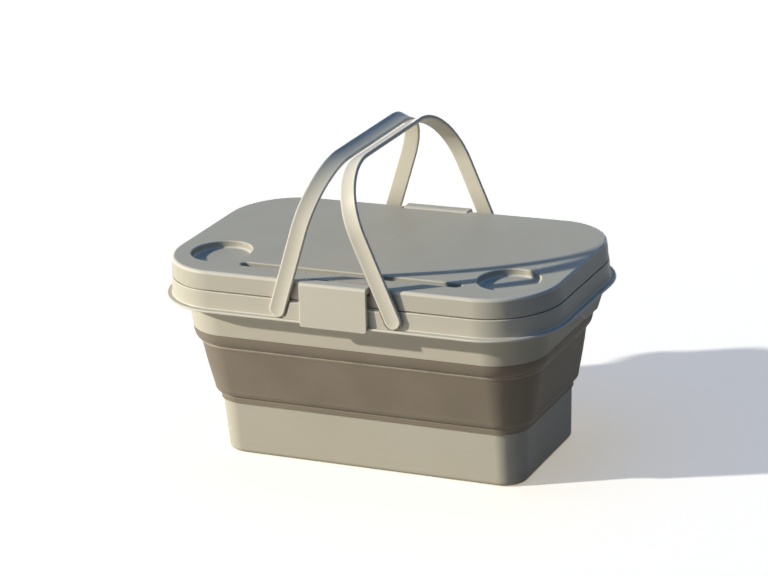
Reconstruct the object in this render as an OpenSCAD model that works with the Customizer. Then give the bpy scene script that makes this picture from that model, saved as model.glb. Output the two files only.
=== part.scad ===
// Collapsible storage crate with a table lid.
// A rigid tub, a soft wall that folds inside out, a rigid rim with two swing handles, and a
// lift-off lid held by two hinged latches. X runs along the length, Y from front to back, Z up,
// with the origin under the middle of the tub.
// Every level outline shares its four corner centres, so each wall is one profile swept around them.

/* [Rim outline] */
// Length of the rim band
rim_length = 477; // [420:1:540]
// Depth of the rim band
rim_depth = 280; // [240:1:330]
// Corner radius of the rim band
rim_corner = 78.5; // [68:0.5:96]

/* [Base tub] */
// Height of the tub
base_height = 64.9; // [55:0.1:85]
// Inset of the tub's top edge from the rim band
base_inset = 48.2; // [44:0.1:52]
// Inward draft of the tub from top to bottom
base_draft = 3.3; // [1:0.1:8]
// Radius of the tub's lower edge
base_round = 6; // [3:0.5:9]
// Wall thickness of the tub
base_wall = 2.4; // [1.8:0.1:3.5]
// Floor thickness of the tub
base_floor = 2.6; // [1.8:0.1:4]
// Height of the standing ring under the floor
foot_height = 1.6; // [1:0.1:3]
// Width of the standing ring from the tub's side
foot_width = 14; // [11:0.5:17]

/* [Folding wall] */
// Height of the folding wall between tub and rim
wall_height = 91.2; // [80:0.1:115]
// Thickness of the soft wall
wall_thick = 1.8; // [1.2:0.1:2.2]
// Drop from the rim skirt to the upper fold
fold_drop = 15.6; // [10:0.1:22]
// Inset of the upper fold from the rim band
fold_inset = 28.5; // [25:0.1:32]
// Rise of the panel's lower edge above the tub
panel_rise = 17; // [14:0.1:22]
// Inset of the panel's lower edge from the rim band
panel_inset = 39.5; // [36:0.1:42]
// Outward bulge of the panel
panel_bulge = 0.6; // [0:0.1:3]
// Rise of the lower crease above the tub
crease_rise = 7.7; // [5:0.1:11]

/* [Rim] */
// Height of the skirt below the flange
skirt_height = 37.3; // [26:0.1:50]
// Inset of the skirt's top from the rim band
skirt_inset = 17.2; // [14:0.1:20]
// Inward draft of the skirt from top to bottom
skirt_draft = 3.5; // [1:0.1:5]
// Wall thickness of the skirt
skirt_wall = 2.4; // [1.8:0.1:3.2]
// Reach of the flange past the rim band
flange_reach = 6.5; // [5.6:0.1:9]
// Thickness of the flange
flange_thick = 3; // [2:0.1:4.5]
// Height of the band above the flange
band_height = 20.6; // [20:0.1:30]
// Wall thickness of the band at its top
band_wall = 2.6; // [2:0.1:3.6]
// Inward draft of the band from bottom to top
band_draft = 0.6; // [0.2:0.1:1.2]
// Rounding of the band's upper edge
band_round = 1; // [0.4:0.1:1.6]
// Width of an end grip tab at the flange
tab_width = 70; // [50:1:100]
// Width of an end grip tab at its lower edge
tab_foot = 36; // [20:1:48]
// Drop of an end grip tab below the flange
tab_drop = 11; // [6:0.1:16]
// Thickness of an end grip tab
tab_thick = 2.6; // [1.8:0.1:3.6]
// Thickness of the catch plate that a latch closes over
catch_thick = 3; // [2:0.1:3.2]
// Gap between a catch plate and the handles' feet beside it
catch_gap = 2; // [1:0.1:4]

/* [Lid] */
// Height of the lid above the rim
lid_height = 23; // [18:0.1:30]
// Inset of the lid's lower edge from the rim band
lid_inset = 1.2; // [0.8:0.1:2]
// Inward draft of the lid's side
lid_draft = 1.3; // [0.4:0.1:2]
// Radius of the lid's upper edge
lid_round = 5; // [3:0.1:6]
// Thickness of the lid's top
lid_plate = 3; // [2:0.1:4]
// Thickness of the lid's side
lid_wall = 2.4; // [1.8:0.1:3]
// Depth of the locating rib inside the rim
rib_depth = 8; // [4:0.1:12]
// Thickness of the locating rib
rib_thick = 2.2; // [1.6:0.1:3]
// Clearance around the locating rib
rib_gap = 0.5; // [0.3:0.05:1]
// Height of the shadow gap at the parting line
parting_gap = 0.6; // [0.3:0.1:1]
// Height of the stiffening ribs under the lid
stiffener_height = 4; // [2:0.1:6]
// Thickness of the stiffening ribs under the lid
stiffener_thick = 2; // [1.4:0.1:3]

/* [Lid recesses] */
// Diameter of a cup recess at the lid's surface
cup_diameter = 70; // [60:1:80]
// Depth of a cup recess
cup_depth = 8; // [5:0.1:12]
// Inward taper of a cup recess
cup_taper = 1.6; // [0.5:0.1:3]
// Distance from the lid's end to a cup's centre
cup_end_margin = 58.6; // [54:0.1:70]
// Distance from the lid's front to a cup's centre
cup_front_margin = 68.5; // [60:0.1:80]
// Length of the device slot
slot_length = 270; // [200:1:280]
// Width of the device slot
slot_width = 12; // [8:0.5:16]
// Depth of the device slot
slot_depth = 9; // [6:0.1:12]
// Distance from the lid's front to the slot's middle
slot_front_margin = 35.5; // [32:0.1:42]
// Wall thickness around the recesses
recess_wall = 2.2; // [1.6:0.1:3]

/* [Latches] */
// Width of a latch
latch_width = 81.6; // [64:0.2:90]
// Thickness of a latch plate
latch_plate = 2.8; // [2:0.1:3.6]
// Reach of a latch below the flange
latch_drop = 2.4; // [0:0.1:4]
// Radius of a latch barrel
barrel_radius = 4.6; // [4:0.1:5.2]
// Depth of the hinge axis below the lid's top
barrel_drop = 3.4; // [3:0.1:4.4]
// Distance of the hinge axis from the lid's side
barrel_inset = 4.2; // [3.6:0.1:5]
// Overhang of the latch plate's top past the lid's side
latch_overhang = 8.5; // [7:0.1:11]
// Radius of a latch's upper edge
latch_round = 4; // [3:0.1:4.6]
// Radius of a latch's lower corners
latch_corner = 3; // [1.5:0.1:6]
// Clearance between a latch and what it passes
latch_gap = 0.5; // [0.3:0.05:0.8]
// Diameter of a latch hinge pin
latch_pin_diameter = 3; // [2:0.1:3.4]
// Length of a hinge pin's end held in the lid
latch_pin_seat = 6; // [4:0.5:9]

/* [Handles] */
// Distance between the left and right handle pivots
pivot_spread = 140.8; // [124:0.2:170]
// Width of a handle band
handle_width = 19.2; // [15:0.2:20]
// Thickness of a handle band
handle_thick = 4.5; // [3.5:0.1:5]
// Edge radius of a handle band
handle_edge = 1.2; // [0.6:0.1:1.6]
// Depth of the shallow dish along a handle's outer face
handle_dish = 0.5; // [0.2:0.1:1]
// Corner radius inside a handle
handle_corner = 70; // [50:1:78]
// Clearance between a handle leg and the rim band
handle_gap = 0.5; // [0.3:0.05:0.9]
// Least clearance between a handle's crossbar and the lid or rim
swing_gap = 0.9; // [0.5:0.1:2]
// Gap between the two crossbars when raised
crossbar_gap = 1.8; // [1:0.1:6]
// Offset of the raised crossbars' meeting plane from the middle
meeting_offset = -2.4; // [-6:0.1:6]

/* [Handle pivots] */
// Diameter of the journal moulded on a handle leg
journal_diameter = 10; // [7:0.1:12]
// Radial running clearance of the pivots
running_fit = 0.06; // [0.02:0.01:0.1]
// Diameter of a retaining cap
cap_diameter = 16; // [14:0.5:18]
// Thickness of a retaining cap
cap_thick = 2.2; // [1.6:0.1:3]
// Play of a retaining cap behind the rim band
cap_play = 0.3; // [0.3:0.05:0.5]
// Diameter of a cap screw's shank
screw_diameter = 3; // [2:0.1:3.4]
// Diameter of a cap screw's head
screw_head = 6; // [5:0.1:7]
// Height of a cap screw's head
screw_head_height = 1.8; // [1.2:0.1:2.4]
// Depth of a cap screw in its journal
screw_depth = 5.5; // [4:0.1:6]

/* [Hidden] */
$fn = 96;
shell_colour = "#c3bba3";
soft_colour = "#80776a";
steel_colour = "#b9bcc0";

// Levels from the ground up
fold_z = base_height + wall_height - fold_drop;
skirt_z = base_height + wall_height;
flange_z = skirt_z + skirt_height;
ledge_z = flange_z + flange_thick;
parting_z = ledge_z + band_height;
top_z = parting_z + lid_height;

// Corner centres shared by every outline, and each wall's distance from them
centre_x = rim_length / 2 - rim_corner;
centre_y = rim_depth / 2 - rim_corner;
base_top_u = rim_corner - base_inset;
base_low_u = base_top_u - base_draft;
crease_u = base_top_u + wall_thick;
panel_u = rim_corner - panel_inset;
fold_u = rim_corner - fold_inset;
skirt_top_u = rim_corner - skirt_inset;
skirt_low_u = skirt_top_u - skirt_draft;
lip_u = rim_corner + flange_reach;
band_top_u = rim_corner - band_draft;
band_in_u = band_top_u - band_wall;
lid_low_u = rim_corner - lid_inset;
lid_top_u = lid_low_u - lid_draft;
lid_plate_u = lid_top_u - 2 * lid_round;
rib_u = band_in_u - rib_gap;

// Lid sides and recess places
lid_half_length = centre_x + lid_top_u;
lid_half_depth = centre_y + lid_top_u;
cup_x = lid_half_length - cup_end_margin;
cup_y = lid_half_depth - cup_front_margin;
slot_y = lid_half_depth - slot_front_margin;

// Latch hinge axis, measured outwards from the crate's middle
barrel_y = lid_half_depth - barrel_inset;
barrel_z = top_z - barrel_drop;
latch_low_y = centre_y + lip_u + latch_gap;
latch_top_y = lid_half_depth + latch_overhang - latch_plate;
latch_low_z = flange_z - latch_drop;
notch_half = latch_width / 2 + latch_gap;
notch_y = barrel_y - barrel_radius - latch_gap;
notch_z = barrel_z - barrel_radius - latch_gap;
pin_half = notch_half + latch_pin_seat;

// Handle pivots, reach and lean
pivot_x = pivot_spread / 2;
pivot_z = ledge_z + swing_gap + handle_width / 2;
leg_y = rim_depth / 2 + handle_gap;
lid_swing = norm([lid_half_length - lid_round - pivot_x, top_z - lid_round - pivot_z]) + lid_round;
rim_swing = rim_length / 2 - pivot_x;
handle_reach = max(lid_swing, rim_swing) + swing_gap;
handle_outer = handle_reach + handle_thick;
handle_half = handle_width / 2;
dish_half = handle_half - handle_edge;
journal_end_y = centre_y + band_in_u - cap_play;
cap_end_y = journal_end_y - cap_thick;

// Points along a circular arc, and along a quarter of an ellipse that starts upright
function arc(centre, radius, from, to, steps) = [
    for (i = [0 : steps])
        let (a = from + (to - from) * i / steps)
        centre + radius * [cos(a), sin(a)]
];
function quarter_ellipse(start, end, steps) = [
    for (i = [0 : steps])
        let (a = 90 * i / steps)
        [end[0] + (start[0] - end[0]) * cos(a), start[1] + (end[1] - start[1]) * sin(a)]
];

// Inner side of a wall whose outer side runs downwards, square to it except at its two level ends
function inward(points, i) =
    i == 0 || i == len(points) - 1
        ? [-1, 0]
        : let (d = points[i + 1] - points[i - 1]) [d[1], -d[0]] / norm(d);
function inner_side(points, thick) = [
    for (i = [len(points) - 1 : -1 : 0]) points[i] + thick * inward(points, i)
];

// Sweeps a profile, drawn as distance from the corner centres against height, around the crate
module around() {
    for (k = [0 : 3]) {
        reach = k % 2 == 0 ? centre_x : centre_y;
        half = k % 2 == 0 ? centre_y : centre_x;
        rotate([0, 0, 90 * k]) {
            translate([reach, half, 0])
                rotate([90, 0, 0])
                    linear_extrude(2 * half) children();
            translate([reach, half, 0])
                rotate_extrude(angle = 90) children();
        }
    }
}

// A level plate with the crate's outline at a given distance from the corner centres
module outline(u) {
    square([2 * centre_x + 2 * u, 2 * centre_y], center = true);
    square([2 * centre_x, 2 * centre_y + 2 * u], center = true);
    for (x = [-centre_x, centre_x])
        for (y = [-centre_y, centre_y])
            translate([x, y]) circle(u);
}
module level_plate(u, z, thick) {
    translate([0, 0, z]) linear_extrude(thick) outline(u);
}

// Repeats a front feature at the back, turned half round
module front_and_back() {
    children();
    rotate([0, 0, 180]) children();
}

// A solid of a side profile, drawn as outward distance against height, along the front
module along_front(half_width) {
    rotate([90, 0, -90])
        translate([0, 0, -half_width])
            linear_extrude(2 * half_width) children();
}

// A round bar along Y, between two outward distances at the front
module front_bar(x, z, radius, from, to) {
    translate([x, -from, z]) rotate([90, 0, 0]) cylinder(r = radius, h = to - from);
}

// Rigid tub: a drafted wall, a rounded lower edge, a standing ring and an upstand behind the wall's lip
module base_tub() {
    inner_round = base_round - base_wall / 2;
    floor_top = foot_height + base_floor;
    foot_u = base_low_u - foot_width;
    upstand_z = base_height + crease_rise - wall_thick;
    profile = concat(
        [[foot_u, 0]],
        arc([base_low_u - base_round, base_round], base_round, -90, 0, 5),
        [
            [base_top_u, base_height],
            [base_top_u, upstand_z],
            [base_top_u - base_wall, upstand_z],
            [base_top_u - base_wall, base_height]
        ],
        arc([base_low_u - base_wall - inner_round, floor_top + inner_round], inner_round, 0, -90, 4),
        [[foot_u, floor_top]]
    );
    color(shell_colour) {
        around() polygon(profile);
        level_plate(foot_u, foot_height, base_floor);
    }
}

// Soft wall: a shoulder under the rim, the upper fold, a bulging panel and the crease above the tub
module folding_wall() {
    panel_z = base_height + panel_rise;
    crease_z = base_height + crease_rise;
    panel_steps = 6;
    shoulder = quarter_ellipse([skirt_low_u, skirt_z], [fold_u, fold_z], 6);
    panel = [
        for (i = [1 : panel_steps])
            let (t = i / panel_steps)
            [
                fold_u + (panel_u - fold_u) * t + panel_bulge * sin(180 * t),
                fold_z + (panel_z - fold_z) * t
            ]
    ];
    tuck = quarter_ellipse([panel_u, panel_z], [crease_u, crease_z], 6);
    tuck_below_panel = [for (i = [1 : len(tuck) - 1]) tuck[i]];
    lip = [[crease_u, crease_z - wall_thick], [crease_u, base_height]];
    outer = concat(shoulder, panel, tuck_below_panel, lip);
    color(soft_colour)
        around() polygon(concat(outer, inner_side(outer, wall_thick)));
}

// Rigid rim: skirt, flange with its inner shelf, band, end grip tabs, catch plates and pivot bores
module rim_frame() {
    lip_radius = flange_thick / 2;
    profile = concat(
        [[skirt_low_u - skirt_wall, skirt_z], [skirt_low_u, skirt_z], [skirt_top_u, flange_z]],
        arc([lip_u - lip_radius, flange_z + lip_radius], lip_radius, -90, 90, 8),
        [[rim_corner, ledge_z]],
        arc([band_top_u - band_round, parting_z - band_round], band_round, 0, 90, 3),
        [
            [band_in_u, parting_z],
            [band_in_u, ledge_z],
            [skirt_top_u - skirt_wall, ledge_z]
        ]
    );
    color(shell_colour)
        difference() {
            union() {
                around() polygon(profile);
                for (side = [0, 180])
                    rotate([0, 0, side]) end_tab(flange_z + lip_radius);
                for (back = [0, 1])
                    mirror([0, back, 0]) catch_plate();
            }
            for (x = [-pivot_x, pivot_x])
                translate([x, rim_depth / 2 + flange_reach, pivot_z])
                    rotate([90, 0, 0])
                        cylinder(d = journal_diameter + 2 * running_fit, h = rim_depth + 2 * flange_reach);
        }
}

module end_tab(z) {
    translate([centre_x + lip_u - tab_thick, 0, 0])
        rotate([90, 0, 90])
            linear_extrude(tab_thick)
                polygon([
                    [-tab_width / 2, z],
                    [-tab_foot / 2, flange_z - tab_drop],
                    [tab_foot / 2, flange_z - tab_drop],
                    [tab_width / 2, z]
                ]);
}

// Raised plate on the band's front between the handles, hollowed at its ends around their feet
module catch_plate() {
    hollow = handle_half + catch_gap;
    root = band_wall / 2 + band_draft;
    translate([0, root - rim_depth / 2, 0])
        rotate([90, 0, 0])
            linear_extrude(root + catch_thick)
                difference() {
                    translate([-pivot_x, ledge_z]) square([pivot_spread, band_height - band_round]);
                    for (side = [-1, 1])
                        translate([side * pivot_x, pivot_z])
                            rotate(side * lean(side)) {
                                circle(hollow);
                                translate([-hollow, 0]) square([2 * hollow, band_height]);
                            }
                }
}

// Table lid: top plate, rounded side, locating rib, two cup recesses, device slot and hinge notches
module lid_panel() {
    color(shell_colour)
        difference() {
            union() {
                lid_shell();
                lid_stiffeners();
                front_and_back() hinge_box();
                for (x = [-cup_x, cup_x])
                    translate([x, -cup_y, top_z - cup_depth - recess_wall])
                        cylinder(
                            d = cup_diameter + 2 * recess_wall,
                            h = cup_depth + recess_wall - lid_plate / 2
                        );
                slot_solid(slot_width + 2 * recess_wall, slot_depth + recess_wall, lid_plate / 2);
            }
            for (x = [-cup_x, cup_x])
                translate([x, -cup_y, top_z - cup_depth])
                    cylinder(
                        d1 = cup_diameter - 2 * cup_taper,
                        d2 = cup_diameter,
                        h = cup_depth
                    );
            slot_solid(slot_width, slot_depth, 0);
            front_and_back() hinge_notch();
            front_and_back() rib_windows();
        }
}

module lid_shell() {
    plate_z = top_z - lid_plate;
    step_u = lid_low_u - parting_gap;
    profile = concat(
        [
            [rib_u - rib_thick, parting_z - rib_depth],
            [rib_u, parting_z - rib_depth],
            [rib_u, parting_z],
            [step_u, parting_z],
            [step_u, parting_z + parting_gap],
            [lid_low_u, parting_z + parting_gap]
        ],
        arc([lid_top_u - lid_round, top_z - lid_round], lid_round, 0, 90, 6),
        [
            [lid_plate_u, top_z],
            [lid_plate_u, plate_z],
            [lid_top_u - lid_wall, plate_z],
            [rib_u - rib_thick, parting_z + lid_wall]
        ]
    );
    around() polygon(profile);
    level_plate(lid_plate_u, plate_z, lid_plate);
}

// Stiffening ribs under the open part of the lid, behind the slot and the cups
module lid_stiffeners() {
    rib_z = top_z - lid_plate - stiffener_height;
    front_y = -cup_y + cup_diameter / 2 + recess_wall;
    back_y = notch_y - recess_wall;
    rows = 3;
    columns = 5;
    pitch_x = 2 * centre_x / (columns - 1);
    pitch_y = (back_y - front_y) / (rows + 1);
    for (row = [1 : rows])
        translate([-centre_x, front_y + row * pitch_y - stiffener_thick / 2, rib_z])
            cube([2 * centre_x, stiffener_thick, stiffener_height + lid_plate / 2]);
    for (column = [0 : columns - 1])
        translate([-centre_x + column * pitch_x - stiffener_thick / 2, front_y, rib_z])
            cube([stiffener_thick, back_y - front_y, stiffener_height + lid_plate / 2]);
}

module slot_solid(width, depth, below) {
    run = slot_length - slot_width;
    translate([0, -slot_y, top_z - depth])
        linear_extrude(depth - below) {
            square([run, width], center = true);
            for (x = [-run / 2, run / 2])
                translate([x, 0]) circle(d = width);
        }
}

// Box behind a hinge notch that closes the lid there and carries the hinge pin's ends
module hinge_box() {
    box_y = notch_y - recess_wall;
    box_z = notch_z - recess_wall;
    along_front(pin_half + recess_wall)
        polygon([
            [box_y, box_z],
            [lid_half_depth - lid_wall / 2, box_z],
            [lid_half_depth - lid_wall / 2, top_z - lid_round],
            [lid_half_depth - lid_round, top_z - lid_plate / 2],
            [box_y, top_z - lid_plate / 2]
        ]);
}

module hinge_notch() {
    out_y = lid_half_depth + latch_overhang;
    along_front(notch_half)
        translate([notch_y, notch_z]) square([out_y - notch_y, top_z - notch_z]);
    pin_bore();
}

module pin_bore() {
    translate([-pin_half, -barrel_y, barrel_z])
        rotate([0, 90, 0]) cylinder(d = latch_pin_diameter, h = 2 * pin_half);
}

// Gaps in the locating rib that clear the handles' retaining caps
module rib_windows() {
    window = cap_diameter + 4 * rib_gap;
    depth = rib_depth + rib_gap;
    for (x = [-pivot_x, pivot_x])
        translate([x - window / 2, -rim_depth / 2, parting_z - depth])
            cube([window, rim_depth / 2 - lid_half_depth + cap_diameter, depth]);
}

// Latch: a barrel on the lid's edge, a rounded shoulder, a plate that leans out past the flange, and cheeks
module latch() {
    shoulder_z = barrel_z + barrel_radius;
    web_z = barrel_z - barrel_radius / 2;
    face_top_y = latch_top_y + latch_plate;
    face_low_y = latch_low_y + latch_plate;
    plate = concat(
        [
            [latch_low_y, latch_low_z],
            [face_low_y - latch_plate / 3, latch_low_z],
            [face_low_y, latch_low_z + latch_plate / 3]
        ],
        arc([face_top_y - latch_round, shoulder_z - latch_round], latch_round, 0, 90, 6),
        [
            [barrel_y, shoulder_z],
            [barrel_y, web_z],
            [latch_top_y, web_z]
        ]
    );
    cheek_y = rim_depth / 2 + catch_thick + latch_gap;
    cheek = [
        [cheek_y, ledge_z + latch_gap],
        [latch_low_y, ledge_z + latch_gap],
        [latch_top_y + latch_plate / 2, web_z],
        [cheek_y, web_z]
    ];
    difference() {
        union() {
            along_front(latch_width / 2) polygon(plate);
            translate([-latch_width / 2, -barrel_y, barrel_z])
                rotate([0, 90, 0]) cylinder(r = barrel_radius, h = latch_width);
            for (side = [-1, 1])
                translate([side * (latch_width - latch_plate) / 2, 0, 0])
                    along_front(latch_plate / 2) polygon(cheek);
        }
        translate([-latch_width, -barrel_y, barrel_z])
            rotate([0, 90, 0])
                cylinder(d = latch_pin_diameter + 2 * running_fit, h = 2 * latch_width);
        latch_corner_cuts();
    }
}

// Rounds the two lower corners of a latch plate, seen from the front
module latch_corner_cuts() {
    for (side = [-1, 1])
        translate([side * latch_width / 2, -latch_low_y + latch_plate, latch_low_z])
            rotate([90, 0, 0])
                linear_extrude(3 * latch_plate)
                    difference() {
                        square(2 * latch_corner, center = true);
                        translate([-side * latch_corner, latch_corner]) circle(latch_corner);
                        translate([-side * 2 * latch_corner, 0])
                            square([2 * latch_corner, 4 * latch_corner], center = true);
                        translate([0, 2 * latch_corner])
                            square([4 * latch_corner, 2 * latch_corner], center = true);
                    }
}

module latch_front() {
    color(shell_colour) latch();
}
module latch_back() {
    color(shell_colour) rotate([0, 0, 180]) latch();
}
module latch_pin_front() {
    color(steel_colour) pin_bore();
}
module latch_pin_back() {
    color(steel_colour) rotate([0, 0, 180]) pin_bore();
}

// Section of a handle band: width against thickness, with rounded edges and a dished outer face
function handle_section(from) = concat(
    from < 0 ? arc([from + handle_edge, handle_edge], handle_edge, 180, 270, 3) : [[from, 0]],
    arc([handle_half - handle_edge, handle_edge], handle_edge, -90, 0, 3),
    arc([handle_half - handle_edge, handle_thick - handle_edge], handle_edge, 0, 90, 3),
    dish_points(max(from, -dish_half), from < 0 ? 1 : 0),
    from < 0 ? arc([from + handle_edge, handle_thick - handle_edge], handle_edge, 90, 180, 3) : []
);
function dish_points(to, skipped) =
    let (steps = 8)
    [
        for (i = [1 : steps - skipped])
            let (x = dish_half + (to - dish_half) * i / steps)
            [x, handle_thick - handle_dish * (1 - pow(x / dish_half, 2))]
    ];

// Half of a raised handle: front leg with its journal, corner and half of the crossbar
module handle_front_half() {
    leg = handle_reach - handle_corner;
    bar_half = leg_y - handle_corner;
    translate([0, -leg_y, 0])
        rotate([0, 0, 180])
            linear_extrude(leg) polygon(handle_section(-handle_half));
    translate([0, -bar_half, leg])
        rotate([0, -90, 0])
            rotate([0, 0, -90])
                rotate_extrude(angle = 90)
                    translate([handle_corner, 0])
                        rotate([0, 0, 90])
                            mirror([0, 1]) polygon(handle_section(-handle_half));
    translate([0, 0, handle_reach])
        rotate([90, 0, 0])
            linear_extrude(bar_half) polygon(handle_section(-handle_half));
    translate([0, -leg_y, 0])
        rotate([90, 0, 0])
            rotate_extrude() polygon(handle_section(0));
    front_bar(0, 0, journal_diameter / 2, journal_end_y, leg_y);
}

// Lean at which a raised handle's crossbar reaches the meeting plane; side is -1 for left and 1 for right
function lean(side) =
    let (run = pivot_x - side * meeting_offset - crossbar_gap / 2)
    asin(run / norm([handle_outer, handle_half])) - atan(handle_half / handle_outer);

// Places a piece drawn around a pivot at a raised handle's lean
module at_pivot(side) {
    translate([side * pivot_x, 0, pivot_z])
        rotate([0, -side * lean(side), 0]) children();
}
module handle(side) {
    color(shell_colour)
        at_pivot(side)
            front_and_back()
                difference() {
                    handle_front_half();
                    front_bar(0, 0, screw_diameter / 2, journal_end_y, journal_end_y + screw_depth);
                }
}
module handle_left() {
    handle(-1);
}
module handle_right() {
    handle(1);
}

// Cap that holds a handle's journal behind the rim band
module pivot_cap(side, turn) {
    color(shell_colour)
        at_pivot(side)
            rotate([0, 0, turn])
                difference() {
                    front_bar(0, 0, cap_diameter / 2, cap_end_y, journal_end_y);
                    front_bar(0, 0, screw_diameter / 2, cap_end_y, journal_end_y);
                }
}
module cap_screw(side, turn) {
    color(steel_colour)
        at_pivot(side)
            rotate([0, 0, turn]) {
                front_bar(0, 0, screw_diameter / 2, cap_end_y, journal_end_y + screw_depth);
                front_bar(0, 0, screw_head / 2, cap_end_y - screw_head_height, cap_end_y);
            }
}

base_tub();
folding_wall();
rim_frame();
lid_panel();
latch_front();
latch_back();
latch_pin_front();
latch_pin_back();
handle_left();
handle_right();
pivot_cap(-1, 0);  // pivot_cap_left_front
pivot_cap(-1, 180);  // pivot_cap_left_back
pivot_cap(1, 0);  // pivot_cap_right_front
pivot_cap(1, 180);  // pivot_cap_right_back
cap_screw(-1, 0);  // cap_screw_left_front
cap_screw(-1, 180);  // cap_screw_left_back
cap_screw(1, 0);  // cap_screw_right_front
cap_screw(1, 180);  // cap_screw_right_back
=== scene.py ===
import math

import bmesh
import bpy
from bpy.props import FloatProperty, FloatVectorProperty, PointerProperty
from bpy.types import Operator, Panel, PropertyGroup
from mathutils import Matrix, Vector


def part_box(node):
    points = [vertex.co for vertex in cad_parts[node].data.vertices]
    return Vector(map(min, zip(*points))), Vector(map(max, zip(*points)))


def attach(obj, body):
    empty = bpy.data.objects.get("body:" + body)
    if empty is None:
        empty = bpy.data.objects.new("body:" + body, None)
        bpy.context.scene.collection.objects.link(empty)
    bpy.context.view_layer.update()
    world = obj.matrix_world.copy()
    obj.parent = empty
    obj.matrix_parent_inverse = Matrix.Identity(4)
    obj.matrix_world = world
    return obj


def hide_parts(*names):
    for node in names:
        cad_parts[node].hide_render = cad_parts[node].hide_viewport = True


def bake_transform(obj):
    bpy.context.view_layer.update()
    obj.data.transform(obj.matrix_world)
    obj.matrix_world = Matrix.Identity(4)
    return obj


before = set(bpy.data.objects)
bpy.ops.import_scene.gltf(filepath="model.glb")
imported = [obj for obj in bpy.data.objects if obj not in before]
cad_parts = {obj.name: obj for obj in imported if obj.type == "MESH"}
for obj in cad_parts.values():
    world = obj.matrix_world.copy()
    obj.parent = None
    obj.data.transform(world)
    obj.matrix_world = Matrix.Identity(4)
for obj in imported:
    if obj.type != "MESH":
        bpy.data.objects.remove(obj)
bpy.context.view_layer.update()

bl_info = {
    "name": "Collapsible Storage Crate",
    "version": (1, 0, 0),
    "blender": (4, 5, 0),
    "location": "View3D > Sidebar > Crate",
    "description": "Models a folding crate with a table lid around its packed solids",
    "category": "Object",
}

# Distances in metres: points that count as one, the first plane's size, a pin's clearance in its bore,
# and how deep a cap screw goes
TOUCH = 5e-6
SEED = 0.001
RUNNING_FIT = 0.00006
SCREW_DEPTH = 0.0055

# Steps of round shapes, and what counts as smooth or as a rounded edge
CORNER_STEPS = 24
LATHE_STEPS = 16
SMALL_STEPS = 8
ARC_STEP = math.radians(16)
SMOOTH_ANGLE = math.radians(38)
EDGE_WIDTH, EDGE_BEND = 0.0013, (math.radians(8), math.radians(50))

FRONT, BACK = 0.0, math.pi
ENDS = (("front", FRONT), ("back", BACK))
SIDES = (("left", -1), ("right", 1))


def length(name, description, default):
    return FloatProperty(
        name=name, description=description, default=default, unit="LENGTH", precision=4
    )


def linear(red, green, blue):
    """A screen colour from 0 to 255 as the linear light that shaders use."""
    parts = []
    for value in (red, green, blue):
        share = value / 255
        parts.append(share / 12.92 if share <= 0.04045 else ((share + 0.055) / 1.055) ** 2.4)
    return tuple(parts)


def colour(name, description, screen):
    return FloatVectorProperty(
        name=name, description=description, default=linear(*screen), subtype="COLOR", min=0, max=1
    )


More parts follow.
